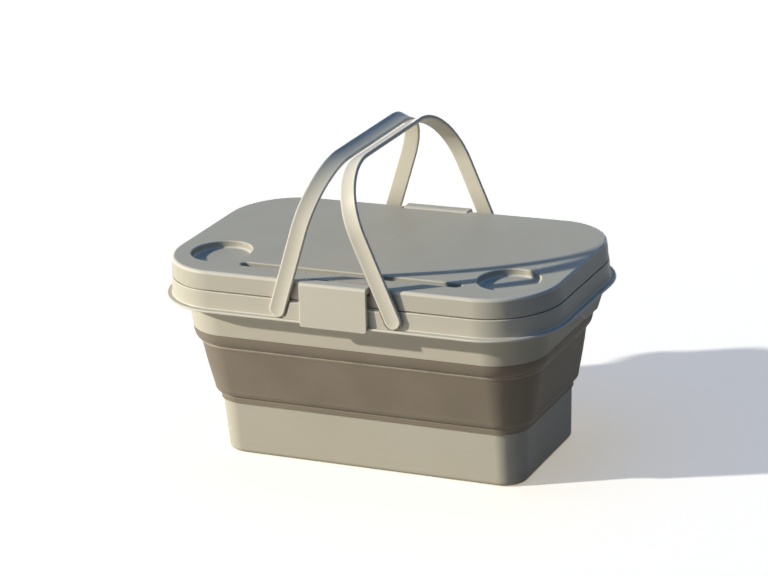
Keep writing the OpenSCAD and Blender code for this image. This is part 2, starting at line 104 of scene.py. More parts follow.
class CrateSizes(PropertyGroup):
    """Sizes of the crate. A reach is measured outwards from the corner centres that all outlines share."""

    corner_along: length("Corner along", "Corner centre's distance from the middle along the length", 0.160)
    corner_across: length("Corner across", "Corner centre's distance from the middle across", 0.0615)
    tub_height: length("Tub height", "Visible height of the tub", 0.0649)
    tub_top: length("Tub top reach", "Reach of the tub's top edge", 0.0303)
    tub_low: length("Tub low reach", "Reach of the tub's side at the ground", 0.027)
    tub_edge: length("Tub edge", "Radius of the tub's lower edge", 0.006)
    tub_wall: length("Tub wall", "Thickness of the tub's side", 0.0024)
    tub_floor: length("Tub floor", "Thickness of the tub's floor", 0.0026)
    foot_height: length("Foot height", "Height of the standing ring", 0.0016)
    foot_width: length("Foot width", "Width of the standing ring", 0.014)
    wall_thick: length("Wall thickness", "Thickness of the soft wall", 0.0018)
    fold_height: length("Fold height", "Height of the soft wall's upper fold", 0.1405)
    fold_reach: length("Fold reach", "Reach of the soft wall's upper fold", 0.050)
    panel_height: length("Panel height", "Height of the soft panel's lower edge", 0.0819)
    panel_reach: length("Panel reach", "Reach of the soft panel's lower edge", 0.039)
    panel_bulge: length("Panel bulge", "Outward bulge of the soft panel", 0.0006)
    crease_height: length("Crease height", "Height of the lower crease", 0.0726)
    crease_reach: length("Crease reach", "Reach of the lower crease", 0.0321)
    skirt_height: length("Skirt height", "Height of the skirt's lower edge", 0.1561)
    skirt_low: length("Skirt low reach", "Reach of the skirt's lower edge", 0.0578)
    skirt_top: length("Skirt top reach", "Reach of the skirt under the flange", 0.0613)
    skirt_wall: length("Skirt wall", "Thickness of the skirt", 0.0024)
    flange_height: length("Flange height", "Height of the flange's underside", 0.1934)
    flange_thick: length("Flange thickness", "Thickness of the flange", 0.003)
    flange_reach: length("Flange reach", "Reach of the flange's lip", 0.085)
    band_reach: length("Band reach", "Reach of the band above the flange", 0.0785)
    band_draft: length("Band draft", "Inward lean of the band", 0.0006)
    band_wall: length("Band wall", "Thickness of the band", 0.0026)
    catch_thick: length("Catch thickness", "Thickness of the catch plate behind a latch", 0.003)
    catch_gap: length("Catch gap", "Gap between a catch plate and the handles' feet", 0.002)
    parting_height: length("Parting height", "Height of the line between rim and lid", 0.217)
    lid_top: length("Lid top", "Height of the lid's top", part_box("lid_panel")[1].z)
    lid_low: length("Lid reach", "Reach of the lid's lower edge", 0.0773)
    lid_draft: length("Lid draft", "Inward lean of the lid's side", 0.0013)
    lid_edge: length("Lid edge", "Radius of the lid's upper edge", 0.0036)
    lid_plate: length("Lid plate", "Thickness of the lid's top", 0.003)
    lid_wall: length("Lid wall", "Thickness of the lid's side", 0.0024)
    cup_radius: length("Cup radius", "Radius of a cup recess", 0.035)
    cup_depth: length("Cup depth", "Depth of a cup recess", 0.008)
    cup_along: length("Cup along", "Cup's distance from the middle along the length", 0.1774)
    cup_across: length("Cup across", "Cup's distance from the middle across", 0.069)
    slot_length: length("Slot length", "Length of the device slot", 0.270)
    slot_width: length("Slot width", "Width of the device slot", 0.012)
    slot_depth: length("Slot depth", "Depth of the device slot", 0.009)
    slot_across: length("Slot across", "Slot's distance from the middle across", 0.102)
    latch_width: length("Latch width", "Width of a latch", 0.0816)
    latch_plate: length("Latch plate", "Thickness of a latch plate", 0.0028)
    latch_foot: length("Latch foot", "Height of a latch's lower edge", 0.191)
    latch_corner: length("Latch corner", "Radius of a latch's lower corners", 0.003)
    barrel_radius: length("Barrel radius", "Radius of a latch's hinge barrel", 0.0046)
    barrel_out: length("Barrel place", "Hinge axis's distance from the middle", 0.1333)
    barrel_height: length("Barrel height", "Height of the hinge axis", 0.2366)
    pin_radius: length("Pin radius", "Radius of a hinge pin", 0.0015)
    pivot_along: length("Pivot place", "Handle pivot's distance from the middle", 0.0704)
    pivot_height: length("Pivot height", "Height of the handle pivots", 0.2069)
    handle_width: length("Handle width", "Width of a handle band", 0.0192)
    handle_thick: length("Handle thickness", "Thickness of a handle band", 0.0045)
    handle_edge: length("Handle edge", "Edge radius of a handle band", 0.0015)
    handle_dish: length("Handle dish", "Depth of the dish along a handle's outer face", 0.0007)
    handle_corner: length("Handle corner", "Corner radius inside a handle", 0.070)
    handle_reach: length("Handle reach", "Distance from pivot to crossbar", 0.169)
    leg_out: length("Leg place", "Inner face of a handle leg from the middle", 0.1405)
    crossbar_gap: length("Crossbar gap", "Gap between the raised crossbars", 0.0018)
    meeting_offset: length("Meeting offset", "Offset of the plane where the crossbars meet", -0.0024)
    journal_radius: length("Journal radius", "Radius of a handle's journal", 0.005)
    journal_end: length("Journal end", "Inner end of a journal from the middle", 0.1365)
    cap_radius: length("Cap radius", "Radius of a retaining cap", 0.008)
    cap_thick: length("Cap thickness", "Thickness of a retaining cap", 0.0022)
    screw_head: length("Screw head", "Radius of a cap screw's head", 0.003)


class CrateColours(PropertyGroup):
    """Colours of the crate and of the floor under it."""

    shell: colour("Shell", "Moulded plastic of tub, rim, lid, latches and handles", (190, 184, 167))
    shell_tint: colour("Shell tint", "Warmer tone that drifts through the moulded plastic", (187, 180, 162))
    handle: colour("Handle", "Moulded plastic of the handles", (212, 205, 187))
    handle_tint: colour("Handle tint", "Warmer tone that drifts through the handles", (208, 201, 182))
    soft: colour("Soft wall", "Soft folding wall", (131, 120, 103))
    soft_tint: colour("Soft wall tint", "Darker tone that drifts through the soft wall", (122, 111, 95))
    # Paler fold tone: bloom over the shoulder, and a painted highlight on the beads
    bloom_and_highlight: colour("Fold bloom", "Paler tone along the worked folds", (180, 169, 147))
    # Painted highlight: the paler tone that the rounded edges of the mouldings are given
    edge: colour("Polished edge", "Paler tone on the polished edges of the mouldings", (228, 221, 204))
    dust: colour("Dust", "Fine dust on upward faces", (206, 203, 196))
    steel: colour("Steel", "Pins and screws", (176, 178, 182))
    floor: colour("Floor", "Floor under the crate", (136, 135, 133))
    backdrop: colour("Backdrop", "What the camera sees of the floor", (255, 255, 255))
    sun: colour("Key light", "Colour of the low key light", (255, 251, 240))
    sky: colour("Fill light", "Colour of the soft fill from above", (86, 150, 222))
    front: colour("Front fill", "Colour of the weak fill from the front", (255, 250, 240))
    back: colour("Back fill", "Colour of the weak fill from behind", (255, 255, 255))


def sizes():
    return bpy.context.scene.crate_sizes


def colours():
    return bpy.context.scene.crate_colours


# Paths in a side view, as pairs of distance and height

def rounded_path(corners):
    """Points along corners given as (across, up, radius), with an arc where there is a radius."""
    path = []
    for i, (across, up, radius) in enumerate(corners):
        here = Vector((across, up))
        if not radius:
            path.append(here)
            continue
        before = (Vector(corners[i - 1][:2]) - here).normalized()
        after = (Vector(corners[(i + 1) % len(corners)][:2]) - here).normalized()
        half = before.angle(after) / 2
        centre = here + (before + after).normalized() * (radius / math.sin(half))
        first = here + before * (radius / math.tan(half)) - centre
        last = here + after * (radius / math.tan(half)) - centre
        turn = math.atan2(first.cross(last), first.dot(last))
        steps = max(2, math.ceil(abs(turn) / ARC_STEP))
        path += [centre + Matrix.Rotation(turn * k / steps, 2) @ first for k in range(steps + 1)]
    return path


def arc_path(centre, radius, first, last, steps):
    """Points on an arc between two angles in degrees."""
    turns = [math.radians(first + (last - first) * k / steps) for k in range(steps + 1)]
    return [Vector(centre) + radius * Vector((math.cos(a), math.sin(a))) for a in turns]


def quarter_ellipse(start, end, steps):
    """A quarter of an ellipse that leaves its start upright and reaches its end level."""
    path = []
    for k in range(steps + 1):
        a = math.pi / 2 * k / steps
        across = end[0] + (start[0] - end[0]) * math.cos(a)
        path.append(Vector((across, start[1] + (end[1] - start[1]) * math.sin(a))))
    return path


def inner_side(path, thick):
    """The inner side of a wall whose outer side runs downwards, from its lower end to its upper."""
    inner = []
    for i in range(len(path) - 1, -1, -1):
        side = Vector((-1, 0))
        if 0 < i < len(path) - 1:
            along = (path[i + 1] - path[i - 1]).normalized()
            side = Vector((along.y, -along.x))
        inner.append(path[i] + thick * side)
    return inner


def facing_front(path, y):
    """A path seen from the front, as places along the length and heights, set at a place across."""
    return [Vector((p[0], y, p[1])) for p in path]


def facing_end(path, x):
    """A path seen from an end, as distances in front of the middle and heights, set along the length."""
    return [Vector((x, -p[0], p[1])) for p in path]


# Modelling steps

def make_active(piece):
    bpy.ops.object.select_all(action="DESELECT")
    piece.select_set(True)
    bpy.context.view_layer.objects.active = piece


def start_piece(name, first):
    """Adds a small plane, merges it into one point at the start of a line and stays in edit mode."""
    bpy.ops.object.select_all(action="DESELECT")
    bpy.ops.mesh.primitive_plane_add(size=SEED, location=(0, 0, 0))
    piece = bpy.context.object
    piece.name = piece.data.name = name
    bpy.ops.object.mode_set(mode="EDIT")
    bpy.ops.mesh.select_mode(type="VERT")
    bpy.ops.mesh.select_all(action="SELECT")
    bpy.ops.mesh.merge(type="CENTER")
    bpy.ops.transform.translate(value=first)
    return piece


def extrude(move):
    bpy.ops.mesh.extrude_region_move(TRANSFORM_OT_translate={"value": tuple(move)})


def select_points(piece, wanted):
    """Selects only the points whose place passes the test, with the edges and faces between them."""
    bpy.ops.mesh.select_mode(type="VERT")
    bpy.ops.mesh.select_all(action="DESELECT")
    mesh = bmesh.from_edit_mesh(piece.data)
    for point in mesh.verts:
        point.select = wanted(point.co)
    mesh.select_flush_mode()
    bmesh.update_edit_mesh(piece.data)


def draw_line(piece, path, closed):
    """Draws a line from the first point by repeated extrusion, and joins its ends if it is closed."""
    for here, there in zip(path, path[1:]):
        extrude(there - here)
    if closed:
        ends = (path[0], path[-1])
        select_points(piece, lambda p: min((p - end).length for end in ends) < TOUCH)
        bpy.ops.mesh.edge_face_add()
    bpy.ops.mesh.select_all(action="SELECT")


def clean_up(piece, fill=True):
    """Merges doubled points, closes open ends and turns the faces outwards, then leaves edit mode."""
    if piece.mode != "EDIT":
        make_active(piece)
        bpy.ops.object.mode_set(mode="EDIT")
    bpy.ops.mesh.select_all(action="SELECT")
    bpy.ops.mesh.remove_doubles(threshold=TOUCH)
    if fill:
        bpy.ops.mesh.fill_holes(sides=0)
    bpy.ops.mesh.select_all(action="SELECT")
    bpy.ops.mesh.normals_make_consistent(inside=False)
    bpy.ops.object.mode_set(mode="OBJECT")


def apply_modifier(piece, kind, **settings):
    make_active(piece)
    modifier = piece.modifiers.new(kind.lower(), kind)
    for key, value in settings.items():
        setattr(modifier, key, value)
    bpy.ops.object.modifier_apply(modifier=modifier.name)


def sweep(name, path, closed=True, centre=(0.0, 0.0), steps=CORNER_STEPS):
    """Spins a path round one corner, draws its ends out to the middle planes and mirrors the quarter."""
    along, across = centre
    line = [Vector((along + p[0], across, p[1])) for p in path]
    piece = start_piece(name, line[0])
    draw_line(piece, line, closed)
    bpy.ops.mesh.spin(steps=steps, angle=-math.pi / 2, center=(along, across, 0), axis=(0, 0, 1))
    if along > 0:
        extrude((-along, 0, 0))
    if across > 0:
        select_points(piece, lambda p: abs(p.y - across) < TOUCH and p.x > along - TOUCH)
        extrude((0, -across, 0))
    bpy.ops.object.mode_set(mode="OBJECT")
    apply_modifier(piece, "MIRROR", use_axis=(True, True, False), merge_threshold=TOUCH)
    clean_up(piece)
    return piece


def turned_bar(name, radius, reach, chamfer=0.0, steps=LATHE_STEPS):
    """A plain round bar along Z from the origin, with chamfered ends if asked."""
    path = [Vector((0, 0)), Vector((radius - chamfer, 0))]
    if chamfer:
        path += [Vector((radius, chamfer)), Vector((radius, reach - chamfer))]
    path += [Vector((radius - chamfer, reach)), Vector((0, reach))]
    return sweep(name, path, closed=False, steps=steps)


def prism(name, outline, depth):
    """A flat outline, closed to a face and extruded by the depth vector."""
    piece = start_piece(name, outline[0])
    draw_line(piece, outline, True)
    bpy.ops.mesh.edge_face_add()
    bpy.ops.mesh.select_all(action="SELECT")
    extrude(depth)
    clean_up(piece, fill=False)
    return piece


def place(piece, move=(0, 0, 0), turn=(0, 0, 0)):
    """Moves and turns a piece, then applies that to its mesh."""
    make_active(piece)
    piece.location = move
    piece.rotation_euler = turn
    bpy.ops.object.transform_apply(location=True, rotation=True, scale=True)
    return piece


def copy_piece(piece, name):
    make_active(piece)
    bpy.ops.object.duplicate()
    copy = bpy.context.object
    copy.name = copy.data.name = name
    return copy


def combine(piece, tool, operation):
    """Cuts the tool from the piece, or joins it on, and removes the tool."""
    apply_modifier(piece, "BOOLEAN", operation=operation, object=tool, solver="EXACT")
    bpy.data.meshes.remove(tool.data)


def cut(piece, tool):
    combine(piece, tool, "DIFFERENCE")


def add_on(piece, tool):
    combine(piece, tool, "UNION")


def ease_edges(piece, width, segments=2, angle=60):
    """Rounds sharp edges by less than any arc's radius, so that short edges don't clamp it."""
    apply_modifier(
        piece, "BEVEL", width=width, segments=segments, limit_method="ANGLE",
        angle_limit=math.radians(angle), harden_normals=False, use_clamp_overlap=False,
    )


def shade(piece, weighted=True):
    make_active(piece)
    bpy.ops.object.shade_smooth_by_angle(angle=SMOOTH_ANGLE)
    if weighted:
        apply_modifier(piece, "WEIGHTED_NORMAL", keep_sharp=True, weight=100)
        mark_highlight_edges(piece)


def mark_highlight_edges(piece):
    """Stores which faces are narrow strips of a rounded edge, for the gloss and the painted highlight
    there.
    """
    mesh = bmesh.new()
    mesh.from_mesh(piece.data)
    highlight_marks = []
    for face in mesh.faces:
        width = face.calc_area() / max(TOUCH, *(edge.calc_length() for edge in face.edges))
        bent = any(EDGE_BEND[0] < edge.calc_face_angle(0.0) < EDGE_BEND[1] for edge in face.edges)
        highlight_marks.append(1.0 if bent and width < EDGE_WIDTH else 0.0)
    mesh.free()
    layer = piece.data.attributes.new("edge_polish", "FLOAT", "FACE")
    layer.data.foreach_set("value", highlight_marks)


def hand_over(piece, material, body, node):
    """Gives a finished piece its finish and its body, and hides the solid that it stands for."""
    piece.data.materials.clear()
    piece.data.materials.append(material)
    if body:
        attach(piece, body)
    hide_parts(node)


# Finishes

FLOAT, COLOUR = "NodeSocketFloat", "NodeSocketColor"
BLACK, WHITE = (0.0, 0.0, 0.0, 1.0), (1.0, 1.0, 1.0, 1.0)
# How much painted highlight the rounded edges get, and how much glossier they are
EDGE_HIGHLIGHT, EDGE_GLOSS = 0.6, 0.1


def new_group(name, inputs, outputs):
    group = bpy.data.node_groups.new(name, "ShaderNodeTree")
    for label, kind, value in inputs:
        socket = group.interface.new_socket(name=label, in_out="INPUT", socket_type=kind)
        socket.default_value = value
    for label, kind in outputs:
        group.interface.new_socket(name=label, in_out="OUTPUT", socket_type=kind)
    entry = group.nodes.new("NodeGroupInput").outputs
    leave = group.nodes.new("NodeGroupOutput").inputs
    return group, entry, leave


def join(tree, value, socket):
    """Links a socket's value to another socket, or sets a plain value there."""
    if isinstance(value, bpy.types.NodeSocket):
        tree.links.new(value, socket)
    else:
        socket.default_value = value


def add_node(tree, kind, links=None, **settings):
    """Adds a node; settings are its own options, and links maps its inputs to sockets or values."""
    node = tree.nodes.new(kind)
    for key, value in settings.items():
        setattr(node, key, value)
    for key, value in (links or {}).items():
        join(tree, value, node.inputs[key])
    return node


def math_node(tree, operation, *values):
    return add_node(tree, "ShaderNodeMath", dict(enumerate(values)), operation=operation).outputs[0]


def add_share(tree, value, share, amount):
    """The value plus an amount of the share."""
    return math_node(tree, "MULTIPLY_ADD", share, amount, value)


def ramp_between(tree, value, low, high):
    node = add_node(tree, "ShaderNodeMapRange", {0: value, 1: low, 2: high}, clamp=True)
    node.interpolation_type = "SMOOTHSTEP"
    return node.outputs[0]


def mix_colour(tree, share, first, second):
    node = add_node(tree, "ShaderNodeMix", data_type="RGBA")
    for index, value in ((0, share), (6, first), (7, second)):
        join(tree, value, node.inputs[index])
    return node.outputs[2]


def own_place(tree):
    return add_node(tree, "ShaderNodeTexCoord").outputs["Object"]


def own_attribute(tree, name):
    return add_node(tree, "ShaderNodeAttribute", attribute_name=name).outputs["Fac"]


def noise(tree, at, scale, detail, roughness=0.5, seed=None):
    """A noise value. A seed, as a number or a socket, moves it along a fourth dimension."""
    links = {"Vector": at, "Scale": scale, "Detail": detail, "Roughness": roughness}
    if seed is None:
        return add_node(tree, "ShaderNodeTexNoise", links).outputs[0]
    links["W"] = seed
    return add_node(tree, "ShaderNodeTexNoise", links, noise_dimensions="4D").outputs[0]


def grain_group():
    """Fine spark-eroded grain of a mould: a height for bump."""
    group, entry, leave = new_group("moulded_grain", [("Scale", FLOAT, 1600.0)], [("Height", FLOAT)])
    join(group, noise(group, own_place(group), entry["Scale"], 3.0, 0.6), leave["Height"])
    return group


def drift_group():
    """Slow drift of tone through a moulding, and its share."""
    inputs = [("Base", COLOUR, WHITE), ("Tint", COLOUR, WHITE), ("Scale", FLOAT, 7.0), ("Seed", FLOAT, 0.0)]
    group, entry, leave = new_group("tone_drift", inputs, [("Colour", COLOUR), ("Share", FLOAT)])
    slow = noise(group, own_place(group), entry["Scale"], 4.0, 0.55, entry["Seed"])
    share = ramp_between(group, slow, 0.3, 0.7)
    join(group, mix_colour(group, share, entry["Base"], entry["Tint"]), leave["Colour"])
    join(group, share, leave["Share"])
    return group


def marks_group():
    """Faint rubbed marks from handling: thin streaks in two directions."""
    group, entry, leave = new_group("handling_marks", [("Amount", FLOAT, 0.5)], [("Mask", FLOAT)])
    masks = []
    for turn, seed in ((0.45, 3.0), (-0.8, 11.0)):
        mapping = {"Vector": own_place(group), "Rotation": (0.3, 0.2, turn), "Scale": (9.0, 420.0, 60.0)}
        turned = add_node(group, "ShaderNodeMapping", mapping).outputs[0]
        masks.append(ramp_between(group, noise(group, turned, 1.0, 2.0, seed=seed), 0.66, 0.78))
    both = math_node(group, "MAXIMUM", *masks)
    join(group, math_node(group, "MULTIPLY", both, entry["Amount"]), leave["Mask"])
    return group


def dust_group():
    """Fine dust that lies on faces that look up."""
    group, entry, leave = new_group("settled_dust", [("Amount", FLOAT, 0.2)], [("Mask", FLOAT)])
    normal = add_node(group, "ShaderNodeTexCoord").outputs["Normal"]
    height = add_node(group, "ShaderNodeSeparateXYZ", {0: normal}).outputs["Z"]
    cloud = ramp_between(group, noise(group, own_place(group), 38.0, 6.0, 0.65), 0.35, 0.75)
    patchy = math_node(group, "MULTIPLY", ramp_between(group, height, 0.55, 0.98), cloud)
    join(group, math_node(group, "MULTIPLY", patchy, entry["Amount"]), leave["Mask"])
    return group


def edge_highlight_group():
    """A painted highlight, with gloss, along the rounded edges that were marked on the mesh."""
    group, entry, leave = new_group("polished_edges", [("Amount", FLOAT, 1.0)], [("Mask", FLOAT)])
    marked = own_attribute(group, "edge_polish")
    join(group, math_node(group, "MULTIPLY", marked, entry["Amount"]), leave["Mask"])
    return group


GROUP_MAKERS = {
    "moulded_grain": grain_group,
    "tone_drift": drift_group,
    "handling_marks": marks_group,
    "settled_dust": dust_group,
    "polished_edges": edge_highlight_group,
}


def use_group(tree, name, links):
    group = bpy.data.node_groups.get(name) or GROUP_MAKERS[name]()
    return add_node(tree, "ShaderNodeGroup", links, node_tree=group).outputs


def opaque(rgb):
    return (*rgb, 1.0)


def new_material(name):
    material = bpy.data.materials.new(name)
    material.use_nodes = True
    return material, material.node_tree, material.node_tree.nodes["Principled BSDF"].inputs


def add_bump(tree, shader, height, strength, distance):
    bump = add_node(tree, "ShaderNodeBump", {"Height": height, "Strength": strength, "Distance": distance})
    join(tree, bump.outputs[0], shader["Normal"])


def shell_finish(name, seed, roughness, dust, marks, pale=0.0):
    """Matte moulded plastic: grain, a slow drift of tone, handling marks, dust, and gloss with a painted
    highlight on the rounded edges.
    """
    material, tree, shader = new_material(name)
    paint = colours()
    base = Vector(paint.shell).lerp(Vector(paint.handle), pale)
    tint = Vector(paint.shell_tint).lerp(Vector(paint.handle_tint), pale)
    drift = use_group(tree, "tone_drift", {"Base": opaque(base), "Tint": opaque(tint), "Seed": seed})
    dusty = use_group(tree, "settled_dust", {"Amount": dust})["Mask"]
    rubbed = use_group(tree, "handling_marks", {"Amount": marks})["Mask"]
    highlit = use_group(tree, "polished_edges", {"Amount": EDGE_HIGHLIGHT})["Mask"]
    tone = mix_colour(tree, dusty, drift["Colour"], opaque(paint.dust))
    tone = mix_colour(tree, math_node(tree, "MULTIPLY", rubbed, 0.25), tone, opaque(paint.dust))
    # Painted highlight: rounded edges are mixed towards the paler edge tone
    tone = mix_colour(tree, highlit, tone, opaque(paint.edge))
    join(tree, tone, shader["Base Color"])
    rough = add_share(tree, roughness, drift["Share"], 0.06)
    rough = add_share(tree, rough, rubbed, -0.12)
    rough = add_share(tree, rough, highlit, -EDGE_GLOSS / EDGE_HIGHLIGHT)
    join(tree, rough, shader["Roughness"])
    add_bump(tree, shader, use_group(tree, "moulded_grain", {"Scale": 1500.0})["Height"], 0.22, 0.00012)
    shader["Specular IOR Level"].default_value = 0.08
    return material


def soft_finish():
    """Velvety soft rubber: taupe, with paler bloom along the worked folds, which on the beads under them is
    a painted highlight.
    """
    material, tree, shader = new_material("soft_rubber")
    paint = colours()
    tones = {"Base": opaque(paint.soft), "Tint": opaque(paint.soft_tint), "Scale": 10.0, "Seed": 4.0}
    drift = use_group(tree, "tone_drift", tones)
    # Painted highlight on the fold beads, mixed with paler bloom over the shoulder
    cloud = ramp_between(tree, noise(tree, own_place(tree), 55.0, 5.0), 0.05, 0.5)
    patchy = math_node(tree, "MULTIPLY", own_attribute(tree, "fold_bloom"), cloud)
    share = math_node(tree, "MULTIPLY", patchy, 0.6)
    join(tree, mix_colour(tree, share, drift["Colour"], opaque(paint.bloom_and_highlight)), shader["Base Color"])
    join(tree, add_share(tree, 0.62, drift["Share"], 0.08), shader["Roughness"])
    add_bump(tree, shader, use_group(tree, "moulded_grain", {"Scale": 2300.0})["Height"], 0.18, 0.0001)
    shader["Specular IOR Level"].default_value = 0.3
    shader["Sheen Weight"].default_value = 0.12
    shader["Sheen Roughness"].default_value = 0.5
    return material


def steel_finish():
    """Drawn steel with fine turning lines."""
    material, tree, shader = new_material("drawn_steel")
    bright = colours().steel
    darker = tuple(0.8 * c for c in bright)
    mapping = {"Vector": own_place(tree), "Scale": (2600.0, 700.0, 700.0)}
    lines = noise(tree, add_node(tree, "ShaderNodeMapping", mapping).outputs[0], 1.0, 3.0)
    join(tree, mix_colour(tree, lines, opaque(darker), opaque(bright)), shader["Base Color"])
    join(tree, add_share(tree, 0.2, lines, 0.2), shader["Roughness"])
    add_bump(tree, shader, lines, 0.15, 0.00005)
    shader["Metallic"].default_value = 1.0
    return material


# Pieces

def corner_centre():
    return sizes().corner_along, sizes().corner_across


def lean(side):
    """The angle at which a raised handle's crossbar reaches the plane where the two meet."""
    s = sizes()
    outer, half = s.handle_reach + s.handle_thick, s.handle_width / 2
    run = s.pivot_along - side * s.meeting_offset - s.crossbar_gap / 2
    return math.asin(run / math.hypot(outer, half)) - math.atan(half / outer)


class CRATE_OT_tub(Operator):
    """Sweeps the rigid tub with its rounded lower edge, standing ring and upstand"""

    bl_idname = "crate.make_tub"
    bl_label = "Tub"

    SEAT_GAP, FLOOR_LAP = 0.0001, 0.002
    LIP_ROUND, FOOT_ROUND = 0.0006, 0.0005

    def execute(self, context):
        s = sizes()
        floor_top = s.foot_height + s.tub_floor
        foot = s.tub_low - s.foot_width
        upstand = s.crease_height - s.wall_thick
        upstand_out = s.tub_top - self.SEAT_GAP
        upstand_in = upstand_out - s.tub_wall
        path = rounded_path([
            (foot - self.FLOOR_LAP, floor_top, 0),
            (s.tub_low - s.tub_wall, floor_top, s.tub_edge - s.tub_wall / 2),
            (upstand_in, s.tub_height, 0),
            (upstand_in, upstand, self.LIP_ROUND),
            (upstand_out, upstand, self.LIP_ROUND),
            (upstand_out, s.tub_height, 0),
            (s.tub_low, 0, s.tub_edge),
            (foot, 0, self.FOOT_ROUND),
            (foot, s.foot_height, self.FOOT_ROUND),
            (foot - self.FLOOR_LAP, s.foot_height, 0),
        ])
        tub = sweep("tub", path, closed=False, centre=corner_centre())
        shade(tub)
        finish = shell_finish("tub_plastic", seed=1.0, roughness=0.44, dust=0.06, marks=0.5)
        hand_over(tub, finish, "base", "base_tub")
        return {"FINISHED"}


class CRATE_OT_wall(Operator):
    """Sweeps the soft wall: shoulder, bead at the fold, bulging panel, tuck and lip"""

    bl_idname = "crate.make_wall"
    bl_label = "Folding wall"

    CURVE_ROWS, PANEL_ROWS, LIP_ROWS, BEAD_ROWS = 10, 26, 4, 5
    BEAD, BEAD_DROP, BEAD_START = 0.0013, 1.1, 110
    # How far the paler fold tone reaches: bloom, with a painted highlight on the beads
    BLOOM_REACH, LOW_BLOOM = 0.0016, 0.35

    def execute(self, context):
        s = sizes()
        fold = Vector((s.fold_reach, s.fold_height))
        panel_low = Vector((s.panel_reach, s.panel_height))
        crease = Vector((s.crease_reach, s.crease_height))
        shoulder = quarter_ellipse((s.skirt_low, s.skirt_height), fold, self.CURVE_ROWS)
        panel = []
        for k in range(1, self.PANEL_ROWS + 1):
            t = k / self.PANEL_ROWS
            panel.append(fold.lerp(panel_low, t) + Vector((s.panel_bulge * math.sin(math.pi * t), 0)))
        tuck = quarter_ellipse(panel_low, crease, self.CURVE_ROWS)[1:]
        drop = s.crease_height - s.tub_height
        lip = [crease - Vector((0, k * drop / self.LIP_ROWS)) for k in range(1, self.LIP_ROWS + 1)]
        outer = shoulder + self.bead(fold, -0.1, -20) + panel[1:]
        outer += tuck + self.bead(crease, -0.4, 0) + lip[1:]
        path = outer + inner_side(shoulder + panel + tuck + lip, s.wall_thick)
        wall = sweep("folding_wall_soft", path, centre=corner_centre())
        self.mark_folds(wall)
        shade(wall, weighted=False)
        hand_over(wall, soft_finish(), None, "folding_wall")
        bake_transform(wall)
        return {"FINISHED"}

    def bead(self, fold, across, end):
        """The bead under a fold. Its centre lies across from the fold by a share of its radius."""
        centre = fold + Vector((across, -self.BEAD_DROP)) * self.BEAD
        return arc_path(centre, self.BEAD, self.BEAD_START, end, self.BEAD_ROWS)

    def mark_folds(self, wall):
        """Stores how near each point is to a worked fold, for the bloom and the painted highlight on its
        bead.
        """
        s = sizes()
        bloom_and_highlight = wall.data.attributes.new("fold_bloom", "FLOAT", "POINT")
        for point in wall.data.vertices:
            shares = [0.0]
            for height, most in ((s.fold_height, 1.0), (s.crease_height, self.LOW_BLOOM)):
                away = abs(point.co.z - height + self.BEAD_DROP * self.BEAD)
                shares.append(most * (1.0 - max(0.0, away - self.BEAD) / self.BLOOM_REACH))
            bloom_and_highlight.data[point.index].value = max(shares)


